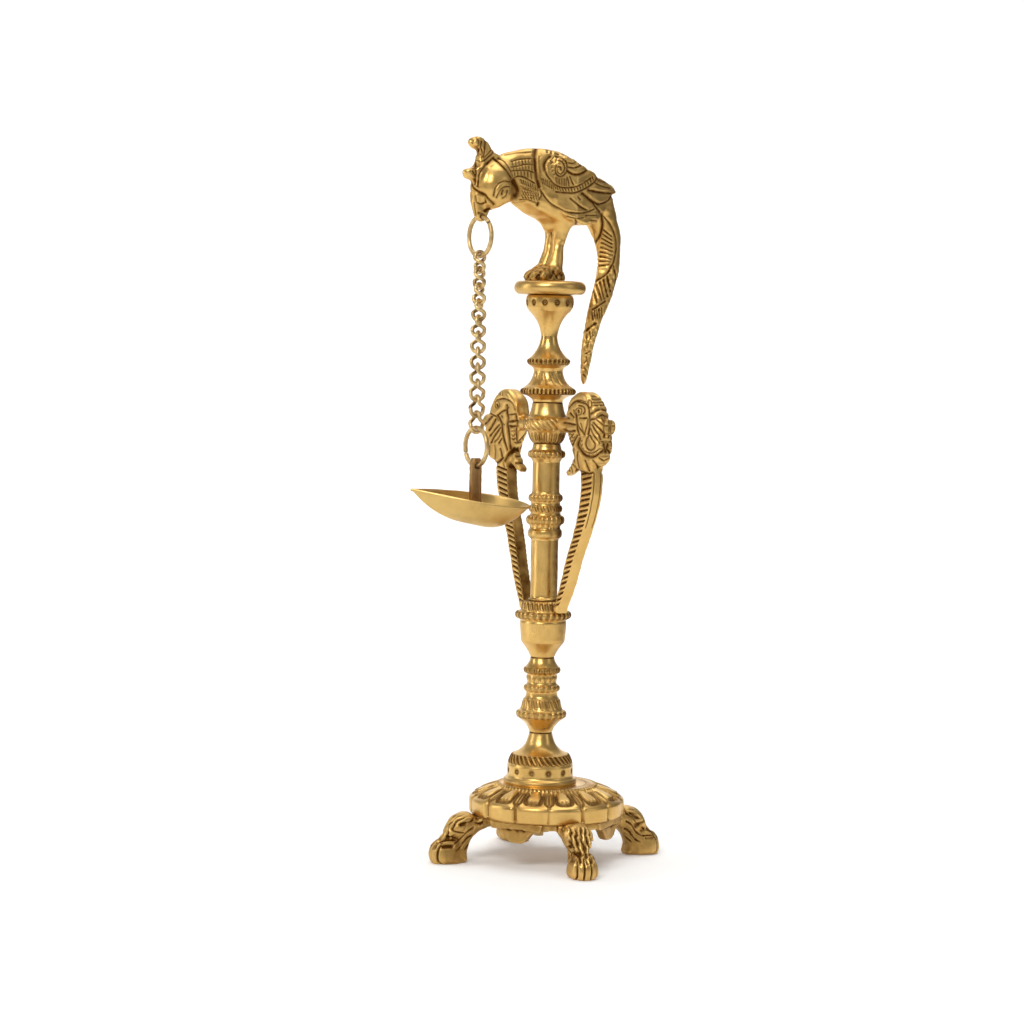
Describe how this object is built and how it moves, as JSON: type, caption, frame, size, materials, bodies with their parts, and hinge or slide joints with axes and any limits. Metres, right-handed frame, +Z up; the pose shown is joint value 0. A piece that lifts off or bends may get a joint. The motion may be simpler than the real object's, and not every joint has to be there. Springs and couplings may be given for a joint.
{
  "type": "hanging oil lamp on a stand",
  "caption": "Standing brass oil lamp: a turned stem on paw feet carries figured brackets and a bird whose beak holds a chain with a hanging leaf-shaped oil bowl.",
  "frame": {"origin": "on the stem's axis, on the surface that the feet stand on", "axes": "+Z up along the stem, the bird and the hanging bowl towards -X, the brackets along Y"},
  "size_m": [0.1151, 0.1004, 0.3],
  "materials": {
    "cast_brass": "polished cast brass with dark patina in the carving",
    "turned_brass": "polished turned brass with dark patina in the grooves",
    "satin_brass": "satin brass",
    "wire_brass": "polished brass wire",
    "bronze_brown": "unpolished brass, brown from heat",
    "dull_brass": "dull machined brass"
  },
  "bodies": {
    "stand": {"leg_stand": "cast_brass", "base_disc": "cast_brass", "bell_foot": "turned_brass", "lower_baluster": "turned_brass", "bracket_cup": "turned_brass", "column_tube": "turned_brass", "bracket_hub": "turned_brass", "upper_baluster": "turned_brass", "plate": "turned_brass", "bird": "cast_brass", "bird_stud": "dull_brass", "tie_rod": "dull_brass", "base_washer": "dull_brass", "base_nut": "dull_brass", "peacock_bracket_right": "cast_brass", "peacock_bracket_left": "cast_brass"},
    "top_ring": {"top_ring": "wire_brass"},
    "link_01": {"chain_link_01": "wire_brass"},
    "link_02": {"chain_link_02": "wire_brass"},
    "link_03": {"chain_link_03": "wire_brass"},
    "link_04": {"chain_link_04": "wire_brass"},
    "link_05": {"chain_link_05": "wire_brass"},
    "link_06": {"chain_link_06": "wire_brass"},
    "link_07": {"chain_link_07": "wire_brass"},
    "link_08": {"chain_link_08": "wire_brass"},
    "link_09": {"chain_link_09": "wire_brass"},
    "link_10": {"chain_link_10": "wire_brass"},
    "link_11": {"chain_link_11": "wire_brass"},
    "bottom_ring": {"bottom_ring": "wire_brass"},
    "lamp_bowl": {"hanger_post": "bronze_brown", "diya_bowl": "satin_brass"}
  },
  "joints": [
    {"name": "top_ring_swing", "type": "hinge", "parent": "stand", "child": "top_ring", "pos_m": [-0.0357, 0, 0.2665], "axis": [0, 1, 0], "range_deg": [-2.5, 45]},
    {"name": "link_01_swing", "type": "hinge", "parent": "top_ring", "child": "link_01", "pos_m": [-0.0357, 0, 0.25228], "axis": [-0.9914, -0.1305, 0], "range_deg": [-30, 30]},
    {"name": "link_02_swing", "type": "hinge", "parent": "link_01", "child": "link_02", "pos_m": [-0.0357, 0, 0.244], "axis": [-0.1305, 0.9914, 0], "range_deg": [-2.5, 35]},
    {"name": "link_03_swing", "type": "hinge", "parent": "link_02", "child": "link_03", "pos_m": [-0.0357, 0, 0.23924], "axis": [-0.9239, -0.3827, 0], "range_deg": [-35, 12]},
    {"name": "link_04_swing", "type": "hinge", "parent": "link_03", "child": "link_04", "pos_m": [-0.0357, 0, 0.23097], "axis": [-0.3827, 0.9239, 0], "range_deg": [-3, 35]},
    {"name": "link_05_swing", "type": "hinge", "parent": "link_04", "child": "link_05", "pos_m": [-0.0357, 0, 0.2262], "axis": [0.7934, 0.6088, 0], "range_deg": [-10, 35]},
    {"name": "link_06_swing", "type": "hinge", "parent": "link_05", "child": "link_06", "pos_m": [-0.0357, 0, 0.21793], "axis": [0.6088, -0.7934, 0], "range_deg": [-35, 3]},
    {"name": "link_07_swing", "type": "hinge", "parent": "link_06", "child": "link_07", "pos_m": [-0.0357, 0, 0.21316], "axis": [-0.6088, -0.7934, 0], "range_deg": [-35, 5]},
    {"name": "link_08_swing", "type": "hinge", "parent": "link_07", "child": "link_08", "pos_m": [-0.0357, 0, 0.20489], "axis": [0.7934, -0.6088, 0], "range_deg": [-35, 8]},
    {"name": "link_09_swing", "type": "hinge", "parent": "link_08", "child": "link_09", "pos_m": [-0.0357, 0, 0.20011], "axis": [-0.3827, -0.9239, 0], "range_deg": [-35, 5]},
    {"name": "link_10_swing", "type": "hinge", "parent": "link_09", "child": "link_10", "pos_m": [-0.0357, 0, 0.19184], "axis": [-0.9239, 0.3827, 0], "range_deg": [-30, 35]},
    {"name": "link_11_swing", "type": "hinge", "parent": "link_10", "child": "link_11", "pos_m": [-0.0357, 0, 0.18707], "axis": [0.1305, 0.9914, 0], "range_deg": [-6, 35]},
    {"name": "bottom_ring_swing", "type": "hinge", "parent": "link_11", "child": "bottom_ring", "pos_m": [-0.0357, 0, 0.1788], "axis": [0.9914, -0.1305, 0], "range_deg": [-30, 30]},
    {"name": "lamp_bowl_swing", "type": "hinge", "parent": "bottom_ring", "child": "lamp_bowl", "pos_m": [-0.0357, 0, 0.16508], "axis": [0, 1, 0], "range_deg": [-35, 50]}
  ]
}
